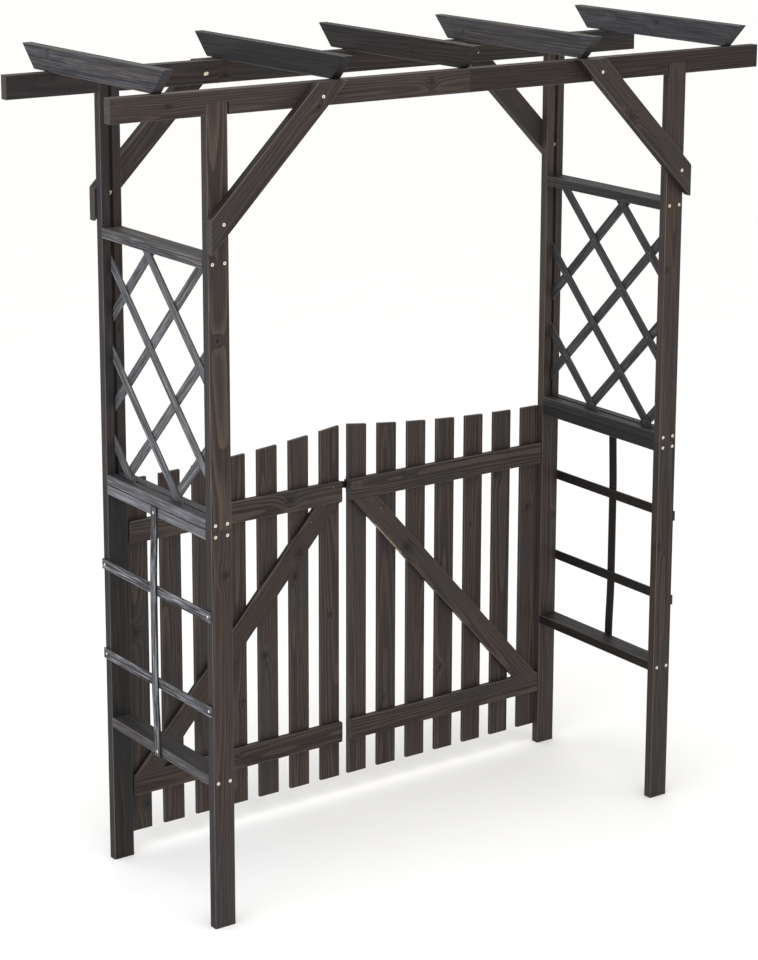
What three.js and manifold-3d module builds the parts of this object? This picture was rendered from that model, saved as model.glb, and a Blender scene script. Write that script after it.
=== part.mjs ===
// Garden arch with a double gate, in millimetres.
// X runs across the passage, Y from the front to the rear (the gate is at the rear), Z up from the ground.
import * as THREE from 'three';
import { mergeVertices } from 'three/addons/utils/BufferGeometryUtils.js';
import Module from 'manifold-3d';

const wasm = await Module();
wasm.setup();

// Overall sizes
const passageWidth = 1412; // clear width between the side frames
const frameDepth = 548; // over the posts, front to rear
const beamTopHeight = 2162; // ground to the top of the beams
const beamOverhang = 262; // beam end past the post
const splitHeight = 1063; // joint between the lower and the upper posts

// Timber sections
const postWidth = 60;
const postThickness = 27;
const sideRailThickness = 27;
const beamHeight = 62;
const beamThickness = 27;
const rafterHeight = 62;
const rafterThickness = 27;
const kneeWidth = 62;
const kneeThickness = 27;
const stripWidth = 28;
const stripThickness = 5;
const easedEdge = 1.5; // planed arris on framing timber
const stripEdge = 0.8; // planed arris on strips

// Side frames
const topRailHeight = 1750; // top face of the lattice top rail
const bottomRailHeight = 384; // underside of the lowest rail
const lowerStripShare = 0.2864; // centre lines of the level strips, as shares of the clear height
const upperStripShare = 0.6864;
const pitchWidthShare = 0.24494; // half a diamond as a share of the clear width of a lattice
const pitchHeightShare = 0.191153; // and of its clear height: the smaller result counts
const outerLayerShares = [-2, -1, 0, 1]; // lines of the outer layer, in whole diamonds from the middle
const innerLayerShares = [-1.5, -0.5, 0.5, 1.5];
const groovePlay = 0.5; // free space beside the lattice in its groove
const grooveDepth = 8;
const grooveEndPlay = 1; // free depth behind a lattice strip

// Roof
const notchShare = 0.5; // depth of a beam notch as a share of the beam
const notchOuterPlay = 0.6; // free space in a notch, outside and inside the post top
const notchInnerPlay = 4.5;
const kneeReach = 334; // from the inner face of a post to the inner top corner of a knee brace
const kneeEndOverhang = 4; // knee brace past the outer face of the post
const kneeTilt = Math.PI / 4;
const rafterLength = 707;
const rafterEndCut = 61; // how far a rafter end slopes inward
const rafterShift = 33; // rafters sit this far to the rear of the middle
const rafterSideShift = 16; // and this far to the right of it
const rafterEndDistance = 118; // beam end to the centre of the outermost rafter
const innerRafterOffset = 398; // centre of an inner rafter from the middle

// Gate
const hangingGap = 4; // post to leaf
const meetingGap = 30; // leaf to leaf
const groundGap = 61; // under the pickets
const picketCount = 7;
const picketWidth = 64;
const picketThickness = 11;
const picketEdge = 1.2;
const leafTopDrop = 3; // top of the leaf at its hinges, below the joint of the posts
const leafArchRise = 46; // how much higher it is in the middle of the gate
const gateRailWidth = 62; // rails and diagonals
const gateRailThickness = 16;
const lowerGateRailHeight = 169; // underside
const upperGateRailDrop = 173; // underside, below the top of the leaf at its hinges
const gateRailRounding = 5; // corners of the rail ends
const gateRailRoundSteps = 3;
const gateBraceSetback = 8; // from either edge of the leaf

// Hinges
const barrelRadius = 4;
const pinRadius = 2.5;
const pinHeadRadius = 3.6;
const pinHeadHeight = 1.5;
const pinPlay = 0.4;
const hingeHeight = 60;
const middleKnuckle = 24;
const hingePlateThickness = 2;
const postPlateWidth = 30;
const strapLength = 124;
const strapTipWidth = 15;
const hingeHoleRadius = 2.3;
const hingeHoleEdge = 8; // hole centre to plate edge
const hingeHoleSides = 10;
const strapHoleShares = [0.2, 0.55, 0.88];
const tipSteps = 6;

// Sliding bolt
const boltRise = 10; // centre line above that of the upper rail
const boltBarWidth = 20;
const boltBarThickness = 5;
const boltBarTail = 98; // behind the meeting edge
const boltNose = 28.5; // past the meeting edge
const boltNoseCut = 4;
const boltPlateWidth = 42;
const boltPlateEdge = 1; // free margin of the picket beside the plate
const boltSheet = 2;
const boltPlay = 0.4;
const guideStrapWidth = 8;
const boltKnobRadius = 3.5;
const boltKnobLength = 17;
const boltKnobDistance = 39; // knob centre behind the meeting edge
const keeperDistance = 1.5; // keeper behind the meeting edge of its leaf
const keeperWidth = 12;
const keeperHeight = 46;
const keeperPlay = 1;

const fit = 0.3; // clearance between pieces that touch
const bond = 0.2; // how far pieces that are fastened for good share material
const overrun = 5; // how far a cutting shape runs past what it cuts
const weld = 1e-4; // merging distance of shared points
const roundSides = 12;

// Sizes that follow
const halfPassage = passageWidth / 2;
const sideOffset = halfPassage + postWidth / 2; // centre of a side frame
const outerHalfWidth = halfPassage + postWidth;
const beamLength = 2 * (outerHalfWidth + beamOverhang);
const halfDepth = frameDepth / 2;
const postOffset = halfDepth - postThickness / 2; // centre of a post from the middle of the depth
const notchDepth = beamHeight * notchShare;
const postTopHeight = beamTopHeight - beamHeight + notchDepth - fit;
const grooveWidth = 2 * stripThickness - bond + 2 * groovePlay;
const clearDepth = frameDepth - 2 * postThickness; // between the posts of a side frame
const sideRailLength = clearDepth - 2 * fit;
const latticeBottom = splitHeight + sideRailThickness;
const latticeTop = topRailHeight - sideRailThickness;
const latticePitch = Math.min(clearDepth * pitchWidthShare, (latticeTop - latticeBottom) * pitchHeightShare);
const lowerClearBottom = bottomRailHeight + sideRailThickness;
const lowerClearTop = splitHeight - sideRailThickness;
const lowerStripHeight = THREE.MathUtils.lerp(lowerClearBottom, lowerClearTop, lowerStripShare);
const upperStripHeight = THREE.MathUtils.lerp(lowerClearBottom, lowerClearTop, upperStripShare);
const leafOuterHeight = splitHeight - leafTopDrop;
const upperGateRailHeight = leafOuterHeight - upperGateRailDrop;
const leafWidth = halfPassage - hangingGap - meetingGap / 2;
const leafStart = hangingGap / 2; // hinge axis to the outer edge of a leaf
const leafEnd = leafStart + leafWidth;
const leafRear = -(barrelRadius + fit); // rear face of a leaf, seen from the hinge axis
const hingeAxisX = halfPassage - hangingGap / 2;
const hingeAxisY = halfDepth + fit + barrelRadius;
const lowerGateRailMiddle = lowerGateRailHeight + gateRailWidth / 2;
const upperGateRailMiddle = upperGateRailHeight + gateRailWidth / 2;
const boltHeight = upperGateRailMiddle + boltRise;

// Finishes
function finish(color, roughness, metalness) {
  return new THREE.MeshStandardMaterial({ color, roughness, metalness });
}

const postWood = finish(0x3e3835, 0.75, 0);
const railWood = finish(0x47464a, 0.72, 0);
const beamWood = finish(0x3a3431, 0.75, 0);
const rafterWood = finish(0x444348, 0.72, 0);
const stripWood = finish(0x56565a, 0.7, 0);
const picketWood = finish(0x413a36, 0.78, 0);
const gateWood = finish(0x3c3633, 0.76, 0);
const blackSteel = finish(0x202022, 0.5, 0.8);

// Solids: joining and cutting closed shapes
function toSolid(geometry) {
  const bare = geometry.clone();
  bare.deleteAttribute('normal');
  bare.deleteAttribute('uv');
  const merged = mergeVertices(bare, weld);
  const vertProperties = new Float32Array(merged.attributes.position.array);
  const triVerts = new Uint32Array(merged.index.array);
  return new wasm.Manifold(new wasm.Mesh({ numProp: 3, vertProperties, triVerts }));
}

function toGeometry(solid) {
  const { vertProperties, triVerts } = solid.getMesh();
  const geometry = new THREE.BufferGeometry();
  geometry.setAttribute('position', new THREE.BufferAttribute(new Float32Array(vertProperties), 3));
  geometry.setIndex(new THREE.BufferAttribute(new Uint32Array(triVerts), 1));
  geometry.computeVertexNormals();
  return geometry;
}

function join(...geometries) {
  return toGeometry(geometries.map(toSolid).reduce((whole, piece) => whole.add(piece)));
}

function cut(geometry, ...tools) {
  return toGeometry(tools.map(toSolid).reduce((rest, tool) => rest.subtract(tool), toSolid(geometry)));
}

function keepInside(geometry, limit) {
  return toGeometry(toSolid(geometry).intersect(toSolid(limit)));
}

// A block between two opposite corners
function block(x0, x1, y0, y1, z0, z1) {
  const geometry = new THREE.BoxGeometry(x1 - x0, y1 - y0, z1 - z0);
  return geometry.translate((x0 + x1) / 2, (y0 + y1) / 2, (z0 + z1) / 2);
}

// A plate with its outline in the XZ plane, from y0 to y1
function plate(outline, y0, y1) {
  const shape = new THREE.Shape(outline.map(([x, z]) => new THREE.Vector2(x, z)));
  const geometry = new THREE.ExtrudeGeometry(shape, { depth: y1 - y0, bevelEnabled: false });
  return geometry.rotateX(Math.PI / 2).translate(0, y1, 0);
}

// A planed board standing on Z = 0: width along X and thickness along Y, both centred, arrises taken off
function board(length, width, thickness, edge = easedEdge) {
  const w = width / 2;
  const t = thickness / 2;
  const section = new THREE.Shape();
  section.moveTo(w - edge, -t);
  section.lineTo(w, edge - t);
  section.lineTo(w, t - edge);
  section.lineTo(w - edge, t);
  section.lineTo(edge - w, t);
  section.lineTo(-w, t - edge);
  section.lineTo(-w, edge - t);
  section.lineTo(edge - w, -t);
  section.closePath();
  return new THREE.ExtrudeGeometry(section, { depth: length, bevelEnabled: false });
}

// A round bar along Z
function rod(radius, z0, z1) {
  const geometry = new THREE.CylinderGeometry(radius, radius, z1 - z0, roundSides);
  return geometry.rotateX(Math.PI / 2).translate(0, 0, (z0 + z1) / 2);
}

function piece(name, geometry, material, place = [0, 0, 0], turn = [0, 0, 0]) {
  const mesh = new THREE.Mesh(geometry, material);
  mesh.name = name;
  mesh.position.set(...place);
  mesh.rotation.set(...turn);
  return mesh;
}

const alongX = [0, Math.PI / 2, 0]; // a standing board laid along X, its width upright
const alongY = [-Math.PI / 2, 0, 0]; // a standing board laid along Y, its width level

// Side frame, standing along Y with its outer face toward -X
function upperPost(name, side) {
  const length = postTopHeight - splitHeight;
  const groove = block(-grooveWidth / 2, grooveWidth / 2, -grooveDepth, overrun, -overrun, length + overrun);
  groove.translate(0, postThickness / 2, 0);
  if (side > 0) groove.rotateZ(Math.PI);
  const post = cut(board(length, postWidth, postThickness), groove);
  return piece(name, post, postWood, [0, side * postOffset, splitHeight]);
}

function lowerPost(name, side) {
  const post = board(splitHeight - fit, postWidth, postThickness);
  return piece(name, post, postWood, [0, side * postOffset, 0]);
}

// Flat rails between the posts. Each takes its name and the height of its top face or underside.
function railBoard() {
  return board(sideRailLength, postWidth, sideRailThickness).translate(0, 0, -sideRailLength / 2);
}

// A groove in the top of a flat rail
function railGroove() {
  const half = sideRailLength / 2 + overrun;
  const groove = block(-grooveWidth / 2, grooveWidth / 2, -overrun, grooveDepth, -half, half);
  return groove.translate(0, -sideRailThickness / 2, 0);
}

function topRail(name) {
  const rail = cut(railBoard(), railGroove()).rotateZ(Math.PI);
  return piece(name, rail, railWood, [0, 0, topRailHeight - sideRailThickness / 2], alongY);
}

// Two boards fastened flat on each other: the sill of the lattice on the top rail of the lower frame
function middleRails(name) {
  const sill = cut(railBoard(), railGroove()).translate(0, bond / 2 - sideRailThickness / 2, 0);
  const lower = railBoard().translate(0, sideRailThickness / 2 - bond / 2, 0);
  return piece(name, join(sill, lower), railWood, [0, 0, splitHeight], alongY);
}

function bottomRail(name) {
  return piece(name, railBoard(), railWood, [0, 0, bottomRailHeight + sideRailThickness / 2], alongY);
}

// Diamond lattice: two layers of strips that cross at right angles and end in the grooves round them
function lattice(name) {
  const halfWidth = clearDepth / 2 + grooveDepth - grooveEndPlay;
  const halfHeight = (latticeTop - latticeBottom) / 2 + grooveDepth - grooveEndPlay;
  const length = 2 * (halfWidth + halfHeight);
  const limit = block(-halfWidth, halfWidth, -grooveWidth, grooveWidth, -halfHeight, halfHeight);
  const strips = [];
  for (const [shares, slope, layer] of [[outerLayerShares, 1, 1], [innerLayerShares, -1, -1]]) {
    for (const share of shares) {
      const offset = share * latticePitch;
      const strip = board(length, stripWidth, stripThickness, stripEdge);
      strip.translate(0, layer * (stripThickness - bond) / 2, -length / 2);
      strip.rotateY(slope * Math.PI / 4);
      strip.translate(-slope * offset, 0, offset);
      strips.push(keepInside(strip, limit));
    }
  }
  return piece(name, join(...strips), stripWood, [0, 0, (latticeBottom + latticeTop) / 2], [0, 0, Math.PI / 2]);
}

// Three strips outside the lower frame: two level ones on the posts, and an upright one
// that lies flat on the rails at its ends and is sprung outward over the level ones
function levelStrip(height) {
  const strip = board(frameDepth, stripWidth, stripThickness, stripEdge).translate(0, 0, -frameDepth / 2);
  return strip.rotateX(-Math.PI / 2).rotateY(Math.PI / 2).translate(-stripThickness / 2, 0, height);
}

function uprightStrip() {
  const steps = 5;
  const lift = stripThickness - bond;
  const low = [lowerClearBottom, lowerStripHeight - stripWidth / 2];
  const high = [lowerClearTop, upperStripHeight + stripWidth / 2];
  const inner = [[0, bottomRailHeight]];
  for (let i = 0; i <= steps; i += 1) {
    inner.push([lift * THREE.MathUtils.smoothstep(i / steps, 0, 1), THREE.MathUtils.lerp(...low, i / steps)]);
  }
  for (let i = steps; i >= 0; i -= 1) {
    inner.push([lift * THREE.MathUtils.smoothstep(i / steps, 0, 1), THREE.MathUtils.lerp(...high, i / steps)]);
  }
  inner.push([0, splitHeight - fit]);
  const outer = inner.map(([x, z]) => [x + stripThickness, z]).reverse();
  const outline = [...inner, ...outer].map(([x, z]) => [-x, z]);
  return plate(outline, -stripWidth / 2, stripWidth / 2);
}

function sideStrips(name) {
  const strips = join(levelStrip(lowerStripHeight), levelStrip(upperStripHeight), uprightStrip());
  return piece(name, strips, stripWood, [-postWidth / 2 - fit, 0, 0]);
}

function sideFrame(side, front, rear) {
  const group = new THREE.Group();
  group.add(
    upperPost(`${side}_${front}_upper_post`, -1),
    upperPost(`${side}_${rear}_upper_post`, 1),
    lowerPost(`${side}_${front}_lower_post`, -1),
    lowerPost(`${side}_${rear}_lower_post`, 1),
    topRail(`${side}_top_rail`),
    middleRails(`${side}_middle_rails`),
    bottomRail(`${side}_bottom_rail`),
    lattice(`${side}_lattice`),
    sideStrips(`${side}_side_strips`),
  );
  return group;
}

// Beam with two notches in its underside for the post tops
function beam(name, side) {
  let geometry = board(beamLength, beamHeight, beamThickness).translate(0, 0, -beamLength / 2);
  const inner = halfPassage - notchInnerPlay;
  const outer = outerHalfWidth + notchOuterPlay;
  for (const ends of [[-outer, -inner], [inner, outer]]) {
    const depth = [beamHeight / 2 - notchDepth, beamHeight / 2 + overrun];
    geometry = cut(geometry, block(...depth, -beamThickness, beamThickness, ...ends));
  }
  return piece(name, geometry, beamWood, [0, side * postOffset, beamTopHeight - beamHeight / 2], alongX);
}

// Knee brace lapped on the outer faces of post and beam: level cut at the top, upright cut at the post
function kneeBrace(name, hand, side) {
  const topWidth = kneeWidth / Math.cos(kneeTilt);
  const topMiddle = halfPassage - kneeReach + topWidth / 2;
  const run = outerHalfWidth + kneeEndOverhang - topMiddle;
  const length = 4 * (run + topWidth);
  const brace = board(length, kneeWidth, kneeThickness).translate(0, 0, -length / 2);
  brace.rotateY(-hand * kneeTilt);
  const end = hand * run;
  const far = -hand * length;
  const limit = block(Math.min(end, far), Math.max(end, far), -kneeThickness, kneeThickness, -length, 0);
  const y = side * (halfDepth + fit + kneeThickness / 2);
  return piece(name, keepInside(brace, limit), beamWood, [hand * topMiddle, y, beamTopHeight]);
}

// Rafter resting on both beams, its ends sloping inward toward the bottom
function rafter(name, x) {
  const top = rafterHeight / 2;
  const half = rafterLength / 2;
  const low = half - rafterEndCut;
  const slope = rafterEndCut / rafterHeight;
  const geometry = board(rafterLength, rafterThickness, rafterHeight).translate(0, 0, -half);
  geometry.rotateX(-Math.PI / 2).rotateZ(Math.PI / 2);
  const limit = plate([
    [-half - slope * overrun, top + overrun], [half + slope * overrun, top + overrun],
    [low - slope * overrun, -top - overrun], [-low + slope * overrun, -top - overrun],
  ], -rafterThickness, rafterThickness);
  const height = beamTopHeight + fit + rafterHeight / 2;
  return piece(name, keepInside(geometry, limit), rafterWood, [x, rafterShift, height], [0, 0, Math.PI / 2]);
}

// Gate leaf. Its group stands on the hinge axis; `way` is the direction from the hinges to the middle.
function archHeight(distance) {
  const radius = (leafWidth ** 2 + leafArchRise ** 2) / (2 * leafArchRise);
  const along = distance - leafStart;
  return leafOuterHeight + radius - Math.sqrt(radius ** 2 - along ** 2);
}

function picket(name, index, way) {
  const pitch = (leafWidth - picketWidth) / (picketCount - 1);
  const middle = leafStart + picketWidth / 2 + index * pitch;
  const half = picketWidth / 2;
  const low = archHeight(middle - half) - groundGap;
  const high = archHeight(middle + half) - groundGap;
  const spare = overrun * (high - low) / picketWidth;
  const limit = plate([
    [-way * (half + overrun), -overrun], [way * (half + overrun), -overrun],
    [way * (half + overrun), high + spare], [-way * (half + overrun), low - spare],
  ], -picketThickness, picketThickness);
  const geometry = board(high + overrun, picketWidth, picketThickness, picketEdge);
  const y = leafRear - picketThickness / 2;
  return piece(name, keepInside(geometry, limit), picketWood, [way * middle, y, groundGap]);
}

const gateRailY = leafRear - picketThickness - fit - gateRailThickness / 2;

// A rectangle with its corners taken off round
function roundedOutline(width, height) {
  const outline = [];
  for (const [cornerX, cornerZ, start] of [[1, 1, 0], [-1, 1, 1], [-1, -1, 2], [1, -1, 3]]) {
    for (let i = 0; i <= gateRailRoundSteps; i += 1) {
      const turn = (start + i / gateRailRoundSteps) * Math.PI / 2;
      outline.push([
        cornerX * (width / 2 - gateRailRounding) + gateRailRounding * Math.cos(turn),
        cornerZ * (height / 2 - gateRailRounding) + gateRailRounding * Math.sin(turn),
      ]);
    }
  }
  return outline;
}

function gateRail(name, height, way) {
  const rail = board(leafWidth, gateRailWidth, gateRailThickness).translate(0, 0, -leafWidth / 2);
  const limit = plate(roundedOutline(leafWidth, gateRailWidth), -gateRailThickness, gateRailThickness);
  const x = way * (leafStart + leafWidth / 2);
  return piece(name, keepInside(rail.rotateY(Math.PI / 2), limit), gateWood, [x, gateRailY, height]);
}

// Diagonal between the rails, from the lower hinge corner to the upper meeting corner
function gateBrace(name, way) {
  const bottom = lowerGateRailHeight + gateRailWidth + fit;
  const height = upperGateRailHeight - fit - bottom;
  const width = leafWidth - 2 * gateBraceSetback;
  const diagonal = Math.hypot(width, height);
  const tilt = Math.atan2(width, height) - Math.asin(gateRailWidth / diagonal);
  const length = 2 * diagonal;
  const brace = board(length, gateRailWidth, gateRailThickness).translate(0, 0, -length / 2);
  brace.rotateY(way * tilt);
  const limit = block(-width / 2, width / 2, -gateRailThickness, gateRailThickness, -height / 2, height / 2);
  const x = way * (leafStart + leafWidth / 2);
  return piece(name, keepInside(brace, limit), gateWood, [x, gateRailY, bottom + height / 2]);
}

// Hinges, drawn round the hinge axis: a strap on the leaf, and a post plate with the pin
function screwHole(x, z) {
  const hole = new THREE.CylinderGeometry(hingeHoleRadius, hingeHoleRadius, 4 * overrun, hingeHoleSides);
  return hole.translate(x, 0, z);
}

function hingeStrap(name, height, way) {
  const half = middleKnuckle / 2 - fit;
  const tip = strapTipWidth / 2;
  const start = strapLength - tip;
  const outline = [[0, half], [0, -half]];
  for (let i = 0; i <= tipSteps; i += 1) {
    const turn = Math.PI * (i / tipSteps - 0.5);
    outline.push([start + tip * Math.cos(turn), tip * Math.sin(turn)]);
  }
  const flat = plate(outline.map(([x, z]) => [way * x, z]), -barrelRadius, hingePlateThickness - barrelRadius);
  const holes = strapHoleShares.map((share) => screwHole(way * share * strapLength, 0));
  const bore = rod(pinRadius + pinPlay, -hingeHeight, hingeHeight);
  return piece(name, cut(join(flat, rod(barrelRadius, -half, half)), bore, ...holes), blackSteel, [0, 0, height]);
}

function hingePlate(name, height, way) {
  const half = hingeHeight / 2;
  const gap = middleKnuckle / 2;
  const outline = [[0, -half], [0, half], [-way * postPlateWidth, half], [-way * postPlateWidth, -half]];
  const flat = plate(outline, -barrelRadius, hingePlateThickness - barrelRadius);
  const notchEnds = [-way * (barrelRadius + fit), way * (barrelRadius + overrun)].sort((a, b) => a - b);
  const notch = block(...notchEnds, -2 * barrelRadius, 2 * barrelRadius, -gap, gap);
  const holeX = -way * (postPlateWidth - hingeHoleEdge);
  const holes = [-half + hingeHoleEdge, half - hingeHoleEdge].map((z) => screwHole(holeX, z));
  const leaf = cut(join(flat, rod(barrelRadius, -half, half)), notch, ...holes);
  const pin = join(
    rod(pinRadius, -half - pinHeadHeight, half + pinHeadHeight),
    rod(pinHeadRadius, half - bond, half + pinHeadHeight),
    rod(pinHeadRadius, -half - pinHeadHeight, bond - half),
  );
  return piece(name, join(leaf, pin), blackSteel, [-way * hingeAxisX, hingeAxisY, height]);
}

// Sliding bolt on the rear of the left leaf, keeper on the rear of the right leaf
const sheetBack = leafRear + fit;
const barBack = sheetBack + boltSheet + fit;
const barFront = barBack + boltBarThickness;

function boltGuide(name) {
  const length = picketWidth - 2 * boltPlateEdge;
  const half = boltPlateWidth / 2;
  const channelHalf = boltBarWidth / 2 + boltPlay;
  const strapHalf = channelHalf + boltSheet;
  const strapFront = barFront + boltPlay + boltSheet;
  const base = block(-length / 2, length / 2, sheetBack, sheetBack + boltSheet, -half, half);
  const straps = [-1, 1].map((end) => {
    const middle = end * (length - guideStrapWidth) / 2;
    return block(
      middle - guideStrapWidth / 2, middle + guideStrapWidth / 2, sheetBack, strapFront, -strapHalf, strapHalf,
    );
  });
  const channel = block(
    -length, length, sheetBack + boltSheet, barFront + boltPlay, -channelHalf, channelHalf,
  );
  const geometry = cut(join(base, ...straps), channel);
  return piece(name, geometry, blackSteel, [leafEnd - picketWidth / 2, 0, boltHeight]);
}

function boltBar(name) {
  const half = boltBarWidth / 2;
  const outline = [
    [-boltBarTail, -half], [boltNose - boltNoseCut, -half], [boltNose, boltNoseCut - half],
    [boltNose, half - boltNoseCut], [boltNose - boltNoseCut, half], [-boltBarTail, half],
  ];
  const knob = rod(boltKnobRadius, -overrun, boltKnobLength);
  knob.rotateX(-Math.PI / 2).translate(-boltKnobDistance, barBack + boltBarThickness, 0);
  const limit = block(-2 * boltBarTail, boltBarTail, barBack, barFront + boltKnobLength, -half, half);
  const geometry = keepInside(join(plate(outline, barBack, barFront), knob), limit);
  return piece(name, geometry, blackSteel, [leafEnd, 0, boltHeight]);
}

function boltKeeper(name) {
  const half = keeperHeight / 2;
  const channelHalf = boltBarWidth / 2 + keeperPlay;
  const channelFront = barFront + keeperPlay;
  const strapHalf = channelHalf + boltSheet;
  const x0 = -keeperWidth / 2;
  const x1 = keeperWidth / 2;
  const feet = block(x0, x1, sheetBack, sheetBack + boltSheet, -half, half);
  const hoop = block(x0, x1, sheetBack, channelFront + boltSheet, -strapHalf, strapHalf);
  const channel = block(2 * x0, 2 * x1, sheetBack - overrun, channelFront, -channelHalf, channelHalf);
  const x = -(leafEnd - keeperDistance - keeperWidth / 2);
  return piece(name, cut(join(feet, hoop), channel), blackSteel, [x, 0, boltHeight]);
}

function gateLeaf(side, way) {
  const leaf = new THREE.Group();
  leaf.position.set(-way * hingeAxisX, hingeAxisY, 0);
  for (let i = 0; i < picketCount; i += 1) {
    leaf.add(picket(`${side}_leaf_picket_${i + 1}`, i, way));
  }
  leaf.add(
    gateRail(`${side}_leaf_lower_rail`, lowerGateRailMiddle, way),
    gateRail(`${side}_leaf_upper_rail`, upperGateRailMiddle, way),
    gateBrace(`${side}_leaf_diagonal_brace`, way),
    hingeStrap(`${side}_leaf_lower_hinge_strap`, lowerGateRailMiddle, way),
    hingeStrap(`${side}_leaf_upper_hinge_strap`, upperGateRailMiddle, way),
  );
  return leaf;
}

// Frame of the arch
const frame = new THREE.Group();
const leftSide = sideFrame('left', 'front', 'rear');
leftSide.position.x = -sideOffset;
const rightSide = sideFrame('right', 'rear', 'front');
rightSide.position.x = sideOffset;
rightSide.rotation.z = Math.PI;
frame.add(leftSide, rightSide, beam('front_beam', -1), beam('rear_beam', 1));

for (const [sideName, side] of [['front', -1], ['rear', 1]]) {
  for (const [handName, hand] of [['left', -1], ['right', 1]]) {
    frame.add(kneeBrace(`${sideName}_${handName}_knee_brace`, hand, side));
  }
}
const outerRafter = beamLength / 2 - rafterEndDistance;
const rafterPlaces = [-outerRafter, -innerRafterOffset, 0, innerRafterOffset, outerRafter];
rafterPlaces.forEach((x, i) => frame.add(rafter(`rafter_${i + 1}`, x + rafterSideShift)));
for (const [handName, way] of [['left', 1], ['right', -1]]) {
  frame.add(
    hingePlate(`${handName}_lower_hinge_plate`, lowerGateRailMiddle, way),
    hingePlate(`${handName}_upper_hinge_plate`, upperGateRailMiddle, way),
  );
}

// Gate
const leftLeaf = gateLeaf('left', 1);
leftLeaf.add(boltGuide('gate_bolt_guide'), boltBar('gate_bolt'));
const rightLeaf = gateLeaf('right', -1);
rightLeaf.add(boltKeeper('gate_bolt_keeper'));

// The origin is on the ground under the middle of the whole arch
const arch = new THREE.Group();
arch.add(frame, leftLeaf, rightLeaf);
arch.position.y = -rafterShift;

export default arch;
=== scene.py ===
import functools
import math

import bpy
import numpy as np
from mathutils import Matrix, Vector


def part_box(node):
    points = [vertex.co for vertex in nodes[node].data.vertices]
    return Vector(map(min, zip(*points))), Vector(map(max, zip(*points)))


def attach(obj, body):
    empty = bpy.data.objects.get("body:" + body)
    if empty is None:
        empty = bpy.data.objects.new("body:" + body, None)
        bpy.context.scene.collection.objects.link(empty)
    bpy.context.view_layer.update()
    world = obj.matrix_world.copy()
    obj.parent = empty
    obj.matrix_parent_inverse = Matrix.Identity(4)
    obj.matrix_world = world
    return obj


# Garden arch with a double gate: stained pine boards, zinc plated screws, black coated gate fittings.
# Metres, X across the passage, Y toward the gate, Z up.
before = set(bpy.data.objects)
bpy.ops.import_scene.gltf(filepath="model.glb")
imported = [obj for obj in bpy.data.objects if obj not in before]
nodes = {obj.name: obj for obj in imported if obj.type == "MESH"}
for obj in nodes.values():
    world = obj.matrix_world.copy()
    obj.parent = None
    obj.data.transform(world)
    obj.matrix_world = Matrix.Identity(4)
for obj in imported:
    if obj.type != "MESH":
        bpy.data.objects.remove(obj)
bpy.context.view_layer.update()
print("frame loaded:", len(nodes), "nodes")


# An sRGB hex colour as linear values
def linear(hexColour):
    parts = [int(hexColour[i:i + 2], 16) / 255 for i in (1, 3, 5)]
    return [c / 12.92 if c <= 0.04045 else ((c + 0.055) / 1.055) ** 2.4 for c in parts] + [1.0]


# Adds one shader node and gives back one of its outputs. The values fill its first sockets in order,
# sockets fills them by name or number, and settings are the node's own. A socket is linked, a value is set.
def addNode(tree, kind, *values, sockets=None, output=0, **settings):
    node = tree.nodes.new("ShaderNode" + kind)
    for name, value in settings.items():
        setattr(node, name, value)
    for socket, value in [*enumerate(values), *(sockets or {}).items()]:
        if isinstance(value, bpy.types.NodeSocket):
            tree.links.new(value, node.inputs[socket])
        else:
            node.inputs[socket].default_value = value
    return node.outputs[output] if node.outputs else None


# An empty material, and addNode for its nodes
def newMaterial(name):
    material = bpy.data.materials.new(name)
    material.use_nodes = True
    material.node_tree.nodes.clear()
    return material, functools.partial(addNode, material.node_tree)


# What many nodes have set: a range with soft ends, and a mix of two colours
softEnds = {"interpolation_type": "SMOOTHSTEP"}
ofColours = {"data_type": "RGBA", "output": 2}


# Pine, planed, with a thin dark stain that leaves the grain to be seen: dull, brown-grey. The soft early
# wood drinks the stain and goes dark, the hard late wood lines stay a little paler. The arrises are
# lighter, partly rubbed stain and partly a painted highlight, the end grain is blotched, and faces that
# look sideways can get a painted silvery sheen along their fibres.
pine = {
    "early": "#342b27",           # stained early wood
    "streak": "#1e1917",          # streaks that took more stain, and the painted shade on narrow faces
    "late": "#54483e",            # late wood lines
    "silverSheen": "#a2a5ac",             # painted silvery sheen, laid along the fibres of faces that look along X
    "cool": "#2b2c2f",            # patches where the stain is greyer
    "wornAndHighlight": "#6b6560",            # arrises: partly rubbed stain, partly a painted highlight
    "bare": "#a3937a",            # where a knock took the stain off
    "end": "#55524f",             # end grain
    "knot": "#120e0c",            # knots, and the seam between two boards
    "knotCover": 0.85,            # how much of the stain a knot hides
    "seamCover": 0.9,             # and how much of it a seam hides
    "ior": 1.5,
    "specular": 0.22,
    "relief": 0.0006,
    "reliefStrength": 0.5,
    "ringRelief": 0.5,            # share of the relief of streaks and hairs
}

# How the wood lies in a board: lengths in metres, shares of a ring
log = {
    "field": 40.0,                    # every board comes from another place in the noise
    "pithAcross": 0.03,               # how far the pith lies beside the middle of the board
    "pithThrough": (0.018, 0.055),    # and in front of it or behind it
    "lean": 0.022,                    # how far the pith runs off in a metre
    "sway": 0.012,                    # how far the rings wander along a board
    "ringGap": 0.0058,                # real growth rings are 2 to 4 mm, drawn coarser so that they show
    "ringRise": (0.30, 0.88),         # where in a ring the late wood begins and is full
    "ringFall": (1.0, 0.93),          # and where it ends
    "fingerWidth": 0.005,             # a finger joint: fingers 10 mm apart and 6 mm long
    "fingerSlope": 1.2,
    "seam": (0.0022, 0.0012),         # half the width of a seam, and of its dark core
    "secondPith": (0, 0.013, 0.021),  # how far off a second board has its pith
    "furtherUp": (7.3, 0, 0),         # and how much higher in the log it grew
}

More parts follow.
